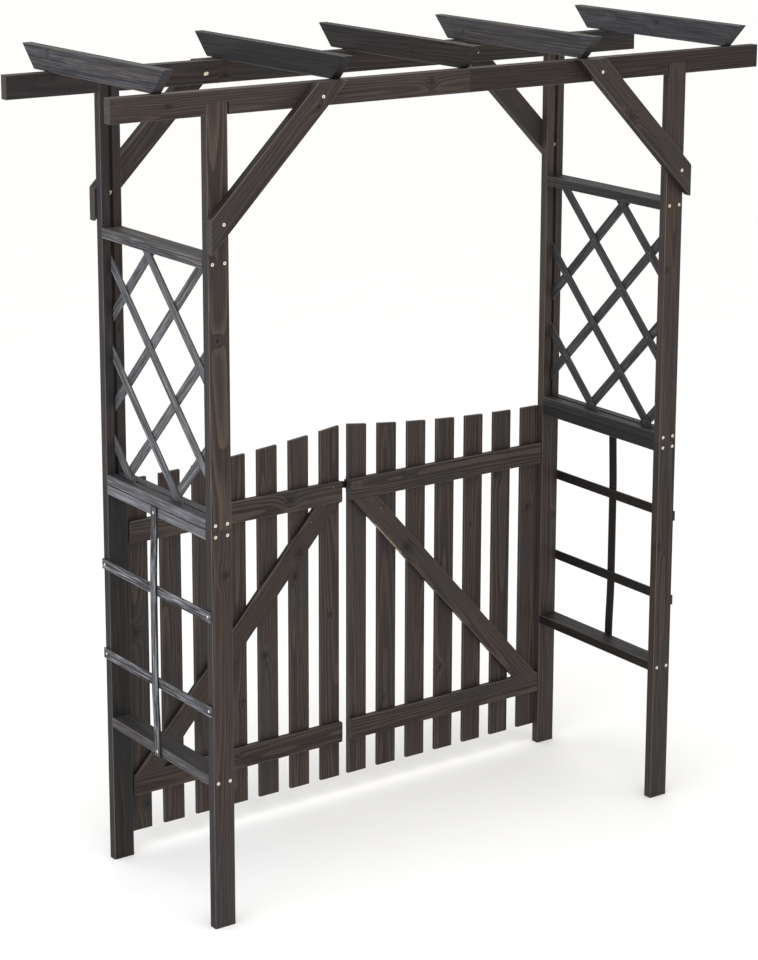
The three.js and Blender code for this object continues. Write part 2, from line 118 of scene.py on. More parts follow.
# The noise of each kind of mark: changes per metre along and across the board, detail, roughness
marks = {
    "sway": (1.6, 9.0, 2.0, 0.55),
    "ragged": (60.0, 120.0, 2.0, 0.55),  # the uneven outline of a knot
    "fibre": (5.0, 330.0, 3.0, 0.6),     # streaks, 3 mm wide
    "hair": (14.0, 900.0, 2.0, 0.55),    # the finest fibres, 1 mm wide
    "blotch": (2.6, 12.0, 3.0, 0.55),    # uneven stain
}

# A knot, in its own radii. halo and core: where they begin and are full, and how dark that makes them.
knotShape = {
    "narrowing": 0.7,                 # it is drawn out along the board
    "bend": 1.5,                      # how far it pushes the rings aside
    "ragged": 0.9,
    "halo": (1.7, 0.7, 0.0, 0.42),
    "core": (0.85, 0.35, 0.0, 0.9),
}

# What the stain and wear show of it: the value that an effect follows, where on it the effect begins and
# is full, and, where that isn't 0 and 1, what it is at both ends
effects = {
    "streak": ("fibre", 0.36, 0.66),
    "brokenLine": ("hair", 0.35, 0.6, 0.3, 1.0),       # hairs break the lines of late wood
    "greyPatch": ("blotch", 0.40, 0.66),
    "sideways": ("sideFacing", 0.6, 0.9),              # faces that look along X, where the side tint paints light on some boards and shade on others
    # where the painted silvery sheen lies along the fibres
    "sheenHair": ("hair", 0.46, 0.60),
    "sheenFibre": ("fibre", 0.58, 0.42),
    # narrow faces, which the edge value darkens as painted shade
    "narrowFace": ("acrossFacing", 0.75, 0.95),
    "arris": ("cornerFacing", 0.2, 0.45),
    "wearAndHighlight": ("fibre", 0.36, 0.66, 0.2, 0.7),           # the lighter arris, partly rubbed stain and partly painted highlight, is strongest on dark streaks
    "bareHair": ("hair", 0.36, 0.5),
    "endGrain": ("endFacing", 0.55, 0.85),
    "endMottle": ("hair", 0.4, 0.6),
    "roughness": ("fibre", 0.36, 0.66, 0.48, 0.72),
}
bareWidth = 0.003  # of an arris knocked bare, in metres


# The directions of a board: along the grain, across its wide face, through its thickness
def directions(along, across):
    a = Vector(along).normalized()
    w = Vector(across).normalized()
    return Matrix((a, w, a.cross(w)))


upright = directions((0, 0, 1), (1, 0, 0))
levelAcross = directions((1, 0, 0), (0, 0, 1))
levelDeep = directions((0, 1, 0), (0, 0, 1))
flatDeep = directions((0, 1, 0), (1, 0, 0))
slopeUp = directions((0, 1, 1), (0, -1, 1))
slopeDown = directions((0, -1, 1), (0, 1, 1))


# A board that leans to the right or left, by its angle from upright
def slanted(sign, tilt):
    along = (sign * math.sin(tilt), 0, math.cos(tilt))
    across = (math.cos(tilt), 0, -sign * math.sin(tilt))
    return directions(along, across)


def boxCentre(name):
    low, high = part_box(name)
    return [(a + b) / 2 for a, b in zip(low, high)]


# Random numbers that are the same on every run, and others for each board
def boardChance(name):
    return np.random.default_rng(sum((i + 1) * ord(c) for i, c in enumerate(name)))


# The place and the normal of a point in the board's own directions, from the board's middle
def boardPlace(add, turn, centre):
    own = add("TexCoord").node.outputs
    angles = turn.to_euler("XYZ")
    middle = turn @ Vector(centre)
    place = add("Mapping", sockets={"Vector": own["Object"], "Location": -middle, "Rotation": angles})
    normal = add("Mapping", sockets={"Vector": own["Normal"], "Rotation": angles})
    return place, normal


# Solid wood: rings lie round a pith beside the board, sway along it and bend round its knots,
# so faces show streaks and arches, and ends show rings. knots: along, across, radius.
# joint: where another length of wood begins, finger jointed to the first.
# stacked: two boards lie flat on each other, with a dark seam between them.
def woodPattern(add, place, chance, knots, joint=None, stacked=False):
    along, across, through = add("SeparateXYZ", place).node.outputs
    past, seam = None, None
    if stacked:
        past = add("Math", through, 0.0, operation="GREATER_THAN")
        seam = add("MapRange", add("Math", through, operation="ABSOLUTE"), *log["seam"], **softEnds)
    if joint is not None:
        fingers = add("Math", across, log["fingerWidth"], operation="PINGPONG")
        reach = add("Math", fingers, log["fingerSlope"], along, operation="MULTIPLY_ADD")
        past = add("Math", reach, joint, operation="GREATER_THAN")
    board, field = place, place
    if past is not None:
        board = add("VectorMath", past, log["secondPith"], place, operation="MULTIPLY_ADD")
        field = add("VectorMath", past, log["furtherUp"], board, operation="MULTIPLY_ADD")
    shift = [float(v) for v in chance.uniform(-log["field"], log["field"], 3)]
    field = add("VectorMath", field, shift, operation="ADD")

    def markNoise(kind):
        alongScale, acrossScale, detail, rough = marks[kind]
        stretch = (alongScale, acrossScale, acrossScale)
        stretched = add("VectorMath", field, stretch, operation="MULTIPLY")
        return add("TexNoise", sockets={
            "Vector": stretched, "Scale": 1.0, "Detail": detail, "Roughness": rough,
        })

    # Distance from the pith, plus the sway and the bends round knots
    pithAcross = float(chance.uniform(-log["pithAcross"], log["pithAcross"]))
    pithThrough = float(chance.choice([-1, 1]) * chance.uniform(*log["pithThrough"]))
    lean = (0, *[float(v) for v in chance.uniform(-log["lean"], log["lean"], 2)])
    fromPith = add("VectorMath", board, (0, 1, 1), (0, -pithAcross, -pithThrough), operation="MULTIPLY_ADD")
    fromPith = add("VectorMath", along, lean, fromPith, operation="MULTIPLY_ADD")
    radius = add("VectorMath", fromPith, operation="LENGTH", output="Value")
    sway = add("Math", markNoise("sway"), 0.5, operation="SUBTRACT")
    radius = add("Math", sway, 2 * log["sway"], radius, operation="MULTIPLY_ADD")
    ragged = add("Math", markNoise("ragged"), 0.5, operation="SUBTRACT")
    knotMask = None
    for knotAlong, knotAcross, size in knots:
        away = add("VectorMath", board, (knotAlong, knotAcross, 0), operation="SUBTRACT")
        inRadii = (knotShape["narrowing"] / size, 1 / size, 0)
        away = add("VectorMath", away, inRadii, operation="MULTIPLY")
        apart = add("VectorMath", away, operation="LENGTH", output="Value")
        spread = add("Math", apart, apart, 1.0, operation="MULTIPLY_ADD")
        bend = add("Math", knotShape["bend"] * size, spread, operation="DIVIDE")
        radius = add("Math", radius, bend, operation="ADD")
        uneven = add("Math", ragged, knotShape["ragged"], apart, operation="MULTIPLY_ADD")
        for part in ("halo", "core"):
            mask = add("MapRange", uneven, *knotShape[part], **softEnds)
            knotMask = mask if knotMask is None else add("Math", knotMask, mask, operation="MAXIMUM")
    turns = add("Math", radius, log["ringGap"], operation="DIVIDE")
    turns = add("Math", turns, operation="FRACT")
    rise = add("MapRange", turns, *log["ringRise"], **softEnds)
    fall = add("MapRange", turns, *log["ringFall"], **softEnds)
    pattern = {kind: markNoise(kind) for kind in ("fibre", "hair", "blotch")}
    pattern["rings"] = add("Math", rise, fall, operation="MULTIPLY")
    pattern.update(knots=knotMask, past=past, seam=seam, along=along, across=across)
    return pattern


# The stained surface from the wood pattern, as layers of colour from the wood up. In a look, early is
# the colour of the early wood, tone lightens or darkens, on some boards as painted light and on others as
# painted shade, streak is the share of dark streaks, contrast brightens the lines of late wood, cool greys,
# side tints the faces that look sideways with painted light on some boards and painted shade on others,
# silverSheen lays a painted silvery sheen along their fibres, edge darkens the narrow faces with painted
# shade, end shows the pale end grain, and secondTint is the tint of a second board. The arrises are
# lightened, partly as rubbed stain and partly as a painted highlight. bareArris is a stretch of one arris
# knocked bare: from and to along the board, and the arris across it.
def stainedSurface(add, pattern, normal, look):
    def toned(hexColour):
        return [c * look["tone"] for c in linear(hexColour)[:3]] + [1.0]

    # The piece's own normal, so that a tint stays on its face when a leaf swings
    ownSide = add("SeparateXYZ", add("TexCoord", output="Normal"))
    facing = add("VectorMath", normal, operation="ABSOLUTE")
    endFacing, acrossFacing, throughFacing = add("SeparateXYZ", facing).node.outputs
    followed = {
        **pattern,
        "sideFacing": add("Math", ownSide, operation="ABSOLUTE"),
        "endFacing": endFacing,
        "acrossFacing": acrossFacing,
        "cornerFacing": add("Math", acrossFacing, throughFacing, operation="MULTIPLY"),
    }
    effect = {
        name: add("MapRange", followed[value], *limits, **softEnds)
        for name, (value, *limits) in effects.items()
    }
    rubbed, stretch = None, None
    if "bareArris" in look:
        start, end, edge = look["bareArris"]
        rubbed = add("MapRange", pattern["across"], edge + bareWidth, edge, **softEnds)
        stretch = add("Math", pattern["along"], (start + end) / 2, (end - start) / 2, operation="COMPARE")
    endColours = {0: effect["endMottle"], 6: linear(pine["end"]), 7: linear(pine["knot"])}
    endColour = add("Mix", sockets=endColours, **ofColours)

    # How each layer is laid on, its colour, and what its share is multiplied from
    layers = [
        ("MIX", toned(pine["streak"]), effect["streak"], look["streak"]),
        ("MIX", toned(pine["late"]), pattern["rings"], effect["brokenLine"], look["contrast"]),
        ("MIX", toned(pine["cool"]), effect["greyPatch"], look["cool"]),
        ("MULTIPLY", (*look["secondTint"], 1.0), pattern["past"]),
        # Painted light and shade: the faces that look along X are lightened on some boards and darkened on
        # others by the side tint
        ("MULTIPLY", (*look["side"], 1.0), effect["sideways"]),
        # Painted sheen: silvery streaks along the fibres of the faces that look along X
        ("MIX", linear(pine["silverSheen"]), effect["sheenHair"], effect["sheenFibre"], effect["sideways"], look["silverSheen"]),
        ("MIX", linear(pine["knot"]), pattern["knots"], pine["knotCover"]),
        # Painted shade: the narrow faces darkened toward the streak colour
        ("MIX", toned(pine["streak"]), effect["narrowFace"], look["edge"]),
        # Lighter arrises: partly rubbed stain, partly a painted highlight
        ("MIX", linear(pine["wornAndHighlight"]), effect["arris"], effect["wearAndHighlight"]),
        ("MIX", linear(pine["bare"]), rubbed, stretch, effect["bareHair"]),
        ("MIX", endColour, effect["endGrain"], look["end"]),
        ("MIX", linear(pine["knot"]), pattern["seam"], pine["seamCover"]),
    ]
    colour = toned(look["early"])
    for blend, over, share, *factors in layers:
        if share is None:
            continue
        for factor in factors:
            share = add("Math", share, factor, operation="MULTIPLY")
        colour = add("Mix", sockets={0: share, 6: colour, 7: over}, blend_type=blend, **ofColours)

    height = add("Math", effect["streak"], pattern["hair"], operation="ADD")
    height = add("Math", pattern["rings"], pine["ringRelief"], height, operation="MULTIPLY_ADD")
    bump = add("Bump", sockets={
        "Height": height, "Strength": pine["reliefStrength"], "Distance": pine["relief"],
    })
    shader = add("BsdfPrincipled", sockets={
        "Base Color": colour, "Roughness": effect["roughness"], "IOR": pine["ior"],
        "Specular IOR Level": pine["specular"], "Normal": bump,
    })
    add("OutputMaterial", shader)


# The look of a board of which nothing else is said
plain = {
    "early": pine["early"],
    "tone": 1.0,
    "streak": 0.65,
    "contrast": 0.5,
    "cool": 0.4,
    "side": (1.0, 1.0, 1.0),
    "silverSheen": 0.0,
    "edge": 0.0,
    "end": 0.8,
    "secondTint": (1.0, 1.0, 1.0),
}

# How much boards differ by chance
variety = {
    "tone": (0.9, 1.12),
    "cool": (0.6, 1.3),
    "knotShare": 0.6,             # of the boards on which the photograph shows no knot
    "knotAlong": (-0.85, 0.85),   # of half the board's length
    "knotAcross": (-0.02, 0.02),
    "knotRadius": (0.005, 0.009),
}

# Knots that the photograph shows: x, z and radius in metres
seenKnots = {
    "left_front_lower_post": [(-0.727, 0.944, 0.010)],
    "left_front_upper_post": [(-0.741, 1.546, 0.009)],
    "right_front_upper_post": [(0.717, 1.556, 0.008)],
    "right_front_lower_post": [(0.714, 0.757, 0.009)],
    "front_beam": [(-0.869, 2.131, 0.008), (-0.098, 2.134, 0.010)],
    "front_left_knee_brace": [(-0.459, 2.102, 0.008)],
    "front_right_knee_brace": [(0.552, 2.000, 0.012)],
    "left_leaf_upper_rail": [(-0.191, 0.922, 0.013)],
    "left_leaf_diagonal_brace": [(-0.162, 0.766, 0.015)],
    "right_leaf_diagonal_brace": [(0.210, 0.715, 0.016)],
    "left_leaf_picket_1": [(-0.679, 0.630, 0.013), (-0.655, 0.130, 0.012)],
    "left_leaf_picket_4": [(-0.342, 0.359, 0.007)],
    "left_leaf_picket_6": [(-0.165, 0.692, 0.010)],
    "right_leaf_picket_1": [(0.664, 0.753, 0.010)],
    "right_leaf_picket_2": [(0.546, 0.871, 0.009)],
}


# A board's own material: its grain, pith and knots differ from its neighbour's
def stainedPine(name, look):
    material, add = newMaterial("stained_pine_" + name)
    chance = boardChance(name)
    centre = boxCentre(name)
    place, normal = boardPlace(add, look["turn"], centre)
    knots = []
    for x, z, size in seenKnots.get(name, []):
        away = look["turn"] @ Vector((x - centre[0], 0, z - centre[2]))
        knots.append((away[0], away[1], size))
    if not knots and chance.random() < variety["knotShare"]:
        low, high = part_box(name)
        reach = 0.5 * max(b - a for a, b in zip(low, high))
        along, across, size = [
            float(chance.uniform(*variety[part])) for part in ("knotAlong", "knotAcross", "knotRadius")
        ]
        knots.append((along * reach, across, size))
    look = {**plain, **look}
    look["tone"] *= float(chance.uniform(*variety["tone"]))
    look["cool"] *= float(chance.uniform(*variety["cool"]))
    pattern = woodPattern(add, place, chance, knots, look.get("joint"), look.get("stacked", False))
    stainedSurface(add, pattern, normal, look)
    return material


# Thin strips in two directions that are one solid: the grain turns where a test on the place says so
def crossedStrips(name, turns, test, look):
    material, add = newMaterial("stained_pine_" + name)
    centre = boxCentre(name)
    share = test(add, centre)
    first, second = [boardPlace(add, turn, centre) for turn in turns]
    place, normal = [
        add("Mix", sockets={0: share, 4: a, 5: b}, data_type="VECTOR", output=1)
        for a, b in zip(first, second)
    ]
    pattern = woodPattern(add, place, boardChance(name), [])
    stainedSurface(add, pattern, normal, {**plain, **look})
    return material


# Lattice: the outer layer slopes one way, the inner layer the other, and they meet in one plane. Nails
# are where the strips of both cross.
latticePlan = {
    "testDepth": 0.001,                     # the layers are told apart this far inside their faces
    "pitch": 0.121,
    "outerStrips": (-2, -1, 0, 1),          # their places in pitches
    "innerStrips": (-1.5, -0.5, 0.5, 1.5),
    "nailReach": (0.235, 0.315),            # nails further from the middle would lie in the grooves
}


def latticeLayer(add, centre):
    own = add("TexCoord").node.outputs
    inward = (-latticePlan["testDepth"], 0, 0)
    inside = add("VectorMath", own["Normal"], inward, own["Object"], operation="MULTIPLY_ADD")
    return add("Math", add("SeparateXYZ", inside), centre[0], operation="GREATER_THAN")


# Side strips: the upright strip is the one near the middle of the depth, except where it runs outside
# a level strip, whose own face is seen from the passage
stripPlan = {
    "heights": (0.590, 0.840),
    "halfWidth": 0.0142,
    "outerFace": 0.7710,          # of the level strips, from the middle of the arch
    "screwInset": 0.0048,         # from the face of the upright strip where it passes over a level one
}


def uprightStrip(add, centre):
    x, y, z = add("SeparateXYZ", add("TexCoord", output="Object")).node.outputs
    halfWidth = stripPlan["halfWidth"]
    inUpright = add("Math", y, centre[1], halfWidth, operation="COMPARE")
    lower, upper = [add("Math", z, level, halfWidth, operation="COMPARE") for level in stripPlan["heights"]]
    inLevel = add("Math", lower, upper, operation="MAXIMUM")
    fromMiddle = add("Math", x, operation="ABSOLUTE")
    within = add("Math", fromMiddle, stripPlan["outerFace"], operation="LESS_THAN")
    inLevel = add("Math", inLevel, within, operation="MULTIPLY")
    notLevel = add("Math", 1.0, inLevel, operation="SUBTRACT")
    return add("Math", inUpright, notLevel, operation="MULTIPLY")


# A finish mottled between two colours: changes per metre, detail, and with patches also where on the
# noise they begin and are full. roughness: how much more in the second colour, and how much in the first.
def mottledFinish(name, look):
    material, add = newMaterial(name)
    place = add("TexCoord", output="Object")
    share = add("TexNoise", sockets={"Vector": place, "Scale": look["perMetre"], "Detail": look["detail"]})
    if "patches" in look:
        share = add("MapRange", share, *look["patches"], **softEnds)
    first, second = [linear(hexColour) for hexColour in look["colours"]]
    base = add("Mix", sockets={0: share, 6: first, 7: second}, **ofColours)
    sockets = {"Base Color": base, **look["shader"]}
    if "roughness" in look:
        sockets["Roughness"] = add("Math", share, *look["roughness"], operation="MULTIPLY_ADD")
    if "pebbles" in look:
        perMetre, detail, strength, distance = look["pebbles"]
        pebbles = add("TexNoise", sockets={"Vector": place, "Scale": perMetre, "Detail": detail})
        sockets["Normal"] = add("Bump", sockets={
            "Height": pebbles, "Strength": strength, "Distance": distance,
        })
    add("OutputMaterial", add("BsdfPrincipled", sockets=sockets))
    return material


# Zinc plated screws with a yellow passivation: bright, slightly warm, with a soft shine
zinc = mottledFinish("zinc_plated_steel", {
    "colours": ("#f4efe2", "#dcd5c2"), "perMetre": 900.0, "detail": 2.0,
    "roughness": (0.2, 0.35), "shader": {"Metallic": 1.0},
})

# Bright wire nails, gone dull: small grey points
nails = mottledFinish("dull_wire_nail_steel", {
    "colours": ("#8d8a86", "#5c5956"), "perMetre": 700.0, "detail": 2.0,
    "shader": {"Roughness": 0.5, "Metallic": 0.8},
})

# Raw pine laid bare where a screw tip broke through: pale yellow splinters
rawWood = mottledFinish("splintered_raw_pine", {
    "colours": ("#fbf1de", "#b39c7d"), "perMetre": 800.0, "detail": 3.0, "patches": (0.35, 0.6),
    "shader": {"Roughness": 0.8},
})

# Mild steel with a black powder coat: satin, faintly pebbled, greyer on rubbed places.
# pebbles: changes per metre, detail, strength, depth
steel = mottledFinish("black_powder_coated_steel", {
    "colours": ("#17171a", "#2b2b2e"), "perMetre": 60.0, "detail": 4.0, "patches": (0.5, 0.75),
    "roughness": (0.2, 0.38), "pebbles": (1400.0, 2.0, 0.25, 0.0003), "shader": {},
})

# How the boards differ. The left side frame gets painted light and a painted silvery sheen on its faces
# that look along X, the right one lower tones as painted shade, and bluish grey early colours stand in for
# the cool sheen of the light as painted reflection.
# A board takes the first entry whose name is part of its own.
boards = {
    # Left side frame: a painted silvery sheen on the faces that look along X; on the middle rails also
    # painted light on those faces and a bluish grey early colour as a painted cool sheen
    "left_middle_rails": {"turn": flatDeep, "tone": 0.6, "early": "#45474d", "side": (2.3, 2.28, 2.26),
                          "cool": 0.5, "silverSheen": 0.46, "streak": 0.3,
                          "stacked": True, "secondTint": (1.25, 1.25, 1.25)},
    "left_bottom_rail": {"turn": flatDeep, "tone": 0.9, "early": "#2f2e30", "cool": 0.9, "silverSheen": 0.33},
    "left_top_rail": {"turn": flatDeep, "tone": 1.2, "early": "#3a3735", "cool": 0.9, "silverSheen": 0.34,
                      "streak": 0.45},
    # Right side frame: tones lowered as painted shade, its faces toward the passage being out of the light
    "right_middle_rails": {"turn": flatDeep, "tone": 0.66, "early": "#323136", "cool": 0.9,
                           "stacked": True, "secondTint": (0.9, 0.9, 0.9)},
    "right_bottom_rail": {"turn": flatDeep, "tone": 0.35, "cool": 0.7},
    "right_top_rail": {"turn": flatDeep, "tone": 0.62, "early": "#333238", "cool": 0.9},
    # Rear left posts: tones lowered as painted shade, the left side frame shading them
    "left_rear_lower_post": {"turn": upright, "tone": 0.42, "cool": 0.9},
    "left_rear_upper_post": {"turn": upright, "tone": 0.7, "cool": 0.9},
    # Front left posts: the side tint darkens their faces that look along X and leaves them bluish, as
    # painted shade with a cool cast of the light
    "left_front_lower_post": {"turn": upright, "tone": 0.98, "side": (0.46, 0.50, 0.57)},
    "left_front_upper_post": {"turn": upright, "tone": 1.1, "contrast": 0.8, "side": (0.56, 0.60, 0.67)},
    "post": {"turn": upright, "tone": 1.04},
    # Rear beam: tone lowered as painted shade
    "rear_beam": {"turn": levelAcross, "tone": 0.75, "cool": 0.9},
    "front_beam": {"turn": levelAcross, "tone": 1.05, "joint": 0.028, "secondTint": (0.58, 0.54, 0.56)},
    # Rafters: tones differ by board; their bluish grey early colours are a painted cool sheen, and the
    # silvery sheen on rafters 1, 4 and 5 is painted too
    "rafter_1": {"turn": levelDeep, "tone": 0.95, "early": "#31343b", "cool": 0.9, "silverSheen": 0.15, "end": 0.3},
    "rafter_2": {"turn": levelDeep, "tone": 0.55, "early": "#2f3036", "cool": 1.0, "end": 0.3},
    "rafter_3": {"turn": levelDeep, "tone": 0.42, "early": "#332d2c", "cool": 0.6, "end": 0.3},
    "rafter_4": {"turn": levelDeep, "tone": 1.05, "early": "#2f3036", "cool": 0.9, "silverSheen": 0.08, "end": 0.3},
    "rafter_5": {"turn": levelDeep, "tone": 1.25, "early": "#2f3038", "cool": 0.9, "silverSheen": 0.08, "end": 0.3},
    "right_leaf_diagonal": {"edge": 0.85, "contrast": 0.6, "bareArris": (0.216, 0.356, -0.031)},
    "left_leaf_diagonal": {"edge": 0.85, "contrast": 0.6},
    "knee_brace": {"edge": 0.85, "contrast": 0.6},
    "picket": {"turn": upright, "tone": 1.06, "contrast": 0.6, "edge": 0.5},
    "leaf_lower_rail": {"turn": levelAcross, "tone": 0.91, "contrast": 0.75, "edge": 0.4},
    "leaf_upper_rail": {"turn": levelAcross, "tone": 0.89, "contrast": 0.85, "edge": 0.4},
}
stripLooks = {
    # The left lattice's raised tone is painted light, and the left lattice and strips get a painted silvery
    # sheen; the right lattice's and strips' lowered tones are painted shade; the bluish grey early colours
    # are a painted cool sheen
    "left_lattice": {"tone": 1.42, "early": "#36383b", "cool": 0.8, "silverSheen": 0.6, "streak": 0.4},
    "right_lattice": {"tone": 0.8, "early": "#2f3034", "cool": 0.9, "silverSheen": 0.15},
    "left_side_strips": {"tone": 0.5, "early": "#33353a", "cool": 0.8, "silverSheen": 0.76},
    "right_side_strips": {"tone": 0.4, "cool": 0.9},
}


# The diagonal of a leaf fills its box from corner to corner, and is as wide as the upper rail, so its
# angle follows from the boxes
def diagonalTilt(name):
    low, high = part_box(name)
    width, height = high[0] - low[0], high[2] - low[2]
    low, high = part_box("left_leaf_upper_rail")
    return math.atan2(width, height) - math.asin((high[2] - low[2]) / math.hypot(width, height))


# Boards whose entry has no turn slant: the leaves' diagonals, and the knee braces at 45 degrees
def boardLook(name):
    look = next(look for part, look in boards.items() if part in name)
    tilt = diagonalTilt(name) if "diagonal" in name else math.pi / 4
    return {"turn": slanted(1 if "left" in name else -1, tilt), **look}


def dress(name, material):
    if not nodes[name].material_slots:
        nodes[name].data.materials.append(material)
    for slot in nodes[name].material_slots:
        slot.material = material


for name in sorted(nodes):
    if "hinge" in name or "bolt" in name:
        dress(name, steel)
    elif "lattice" in name:
        dress(name, crossedStrips(name, (slopeUp, slopeDown), latticeLayer, stripLooks[name]))
    elif "side_strips" in name:
        dress(name, crossedStrips(name, (levelDeep, upright), uprightStrip, stripLooks[name]))
    else:
        dress(name, stainedPine(name, boardLook(name)))
print("materials set")


# Fastener heads
# A head is a polar net of rings: the height is a low dome, lowered inside a cross-shaped recess,
# the last two rings go down the rim into the wood, and one flat face closes it underneath. A ragged
# one has its radius changed by a product of two waves round it.
headNet = {
    "rings": (0.0, 0.3, 0.62, 0.9, 1.0, 1.0),  # shares of the radius
    "crossWidth": 0.72,                        # sine of twice the angle to which an arm of the cross reaches
    "crossReach": 0.7,                         # share of the radius to which the arms reach
    "floorReach": 0.5,                         # share of the radius with the recess at its full depth
    "slope": 0.45,                             # share of the depth outside the floor
    "sunk": 0.0003,                            # how deep the lowest ring lies in the wood
    "spin": 1.57,                              # each is turned by chance, by up to a quarter turn
}
screwHead = {"radius": 0.0045, "dome": 0.0007, "rim": 0.0004, "recess": 0.0012, "sides": 16}
stripScrewHead = {**screwHead, "radius": 0.0036}
flushHead = {**screwHead, "dome": 0.0, "rim": 0.0001}
nailHead = {"radius": 0.0022, "dome": 0.0004, "rim": 0.0003, "recess": 0.0, "sides": 10}
nailPoint = {**nailHead, "radius": 0.0015}
screwTip = {"radius": 0.0028, "dome": 0.0060, "rim": 0.0003, "recess": 0.0, "sides": 10}
shortTip = {**screwTip, "radius": 0.002, "dome": 0.001}
chip = {"radius": 0.0060, "dome": 0.0012, "rim": 0.0003, "recess": 0.0, "sides": 14, "ragged": 0.42}
fittingScrew = {"radius": 0.0036, "dome": 0.0010, "rim": 0.0003, "recess": 0.0011, "sides": 14}
boltScrew = {**fittingScrew, "radius": 0.0028}


def headMesh(size):
    share = np.array(headNet["rings"])[:, None]
    angle = np.arange(size["sides"])[None, :] * 2 * np.pi / size["sides"]
    inCross = (np.abs(np.sin(2 * angle)) < headNet["crossWidth"]) & (share < headNet["crossReach"])
    depth = np.where(inCross | (share == 0), size["recess"], 0.0)
    depth = depth * np.where(share < headNet["floorReach"], 1.0, headNet["slope"])
    height = size["rim"] + size["dome"] * (1 - share ** 2) - depth
    height[-1] = -headNet["sunk"]
    ragged = 1 + size.get("ragged", 0) * np.sin(3 * angle + 1) * np.cos(5 * angle)
    radius = size["radius"] * share * ragged
    points = np.stack([radius * np.cos(angle), radius * np.sin(angle), height], -1)
    rings, sides = len(share) - 1, size["sides"]
    points = np.vstack([points[1:].reshape(-1, 3), [[0, 0, height[0, 0]]]])
    i, j = np.meshgrid(np.arange(rings - 1), np.arange(sides), indexing="ij")
    k = (j + 1) % sides
    corners = [i * sides + j, (i + 1) * sides + j, (i + 1) * sides + k, i * sides + k]
    quads = np.stack(corners, -1).reshape(-1, 4)
    fan = np.stack([np.full(sides, rings * sides), np.arange(sides), (np.arange(sides) + 1) % sides], -1)
    cap = (rings - 1) * sides + np.arange(sides)[::-1]
    return points, quads.tolist() + fan.tolist() + [cap.tolist()]


# Many copies of one head as one mesh, each turned by chance: places, and their outward direction
def addHeads(name, body, places, outward, size, material):
    points, headFaces = headMesh(size)
    chance = np.random.default_rng(len(name) + 7 * len(places))
    allPoints, faces = [], []
    base = Vector(outward).normalized().to_track_quat("Z", "Y").to_matrix()
    for count, place in enumerate(places):
        spin = Matrix.Rotation(float(chance.uniform(0, headNet["spin"])), 3, "Z")
        turn = np.array(base @ spin)
        allPoints.append(points @ turn.T + np.array(place))
        start = count * len(points)
        faces += [[index + start for index in face] for face in headFaces]
    mesh = bpy.data.meshes.new(name)
    mesh.from_pydata(np.vstack(allPoints).tolist(), [], faces)
    mesh.polygons.foreach_set("use_smooth", np.zeros(len(mesh.polygons), bool))
    mesh.materials.append(material)
    mesh.update()
    piece = bpy.data.objects.new(name, mesh)
    bpy.context.scene.collection.objects.link(piece)
    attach(piece, body)


# Where a piece's box begins or ends along an axis
def side(name, axis, high):
    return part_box(name)[1 if high else 0][axis]


# Screws of the frame
frameScrews = {
    "pairSpread": 0.0175,                       # from the middle of a post
    "heights": (0.396, 1.0475, 1.0775, 1.737),  # bottom rail, lower frame, lattice sill, lattice top rail
    "braceTop": (0.446, 2.127),                 # from the middle of the arch, above the ground
    "braceFoot": (0.736, 1.838),
    "grooveDepth": 0.008,                       # the tips of the foot screws come out in the post's groove
    "uprightHeights": (0.397, 1.048),           # of the screws in the upright strips
}
postX = boxCentre("right_front_lower_post")[0]
frontPostY = boxCentre("left_front_lower_post")[1]
rearPostY = boxCentre("left_rear_lower_post")[1]
frontFace = side("left_front_lower_post", 1, False)
rearFace = side("left_rear_lower_post", 1, True)
spots = [(hand * postX + s * frameScrews["pairSpread"], z)
         for hand in (-1, 1) for s in (-1, 1) for z in frameScrews["heights"]]
addHeads("front_post_screws", "frame", [(x, frontFace, z) for x, z in spots], (0, -1, 0), screwHead, zinc)
addHeads("rear_post_screws", "frame", [(x, rearFace, z) for x, z in spots], (0, 1, 0), screwHead, zinc)

braceTop, braceFoot = frameScrews["braceTop"], frameScrews["braceFoot"]
braceSpots = [(hand * x, z) for hand in (-1, 1) for x, z in (braceTop, braceFoot)]
frontBraceFace = side("front_left_knee_brace", 1, False)
rearBraceFace = side("rear_left_knee_brace", 1, True)
addHeads("front_knee_brace_screws", "frame", [(x, frontBraceFace, z) for x, z in braceSpots],
         (0, -1, 0), screwHead, zinc)
addHeads("rear_knee_brace_screws", "frame", [(x, rearBraceFace, z) for x, z in braceSpots],
         (0, 1, 0), screwHead, zinc)
rearInner = side("left_rear_lower_post", 1, False)
tipSpots = [(x, rearInner + (frameScrews["grooveDepth"] if z == braceFoot[1] else 0), z)
            for x, z in braceSpots]
addHeads("rear_knee_brace_screw_tips", "frame", tipSpots, (0, -1, 0), screwTip, zinc)
addHeads("rear_knee_brace_chips", "frame", tipSpots, (0, -1, 0), chip, rawWood)

for hand, way in (("left", -1), ("right", 1)):
    x = side(hand + "_side_strips", 0, way > 0) - way * stripPlan["screwInset"]
    strips = [(x, y, z) for y in (frontPostY, rearPostY) for z in stripPlan["heights"]]
    strips += [(x, (frontPostY + rearPostY) / 2, z) for z in frameScrews["uprightHeights"]]
    addHeads(hand + "_strip_screws", "frame", strips, (way, 0, 0), stripScrewHead, zinc)

rafters = sorted(name for name in nodes if name.startswith("rafter_"))
rafterSpots = [(boxCentre(name)[0], y, side(name, 2, True))
               for name in rafters for y in (frontPostY, rearPostY)]
addHeads("rafter_screws", "frame", rafterSpots, (0, 0, 1), flushHead, nails)

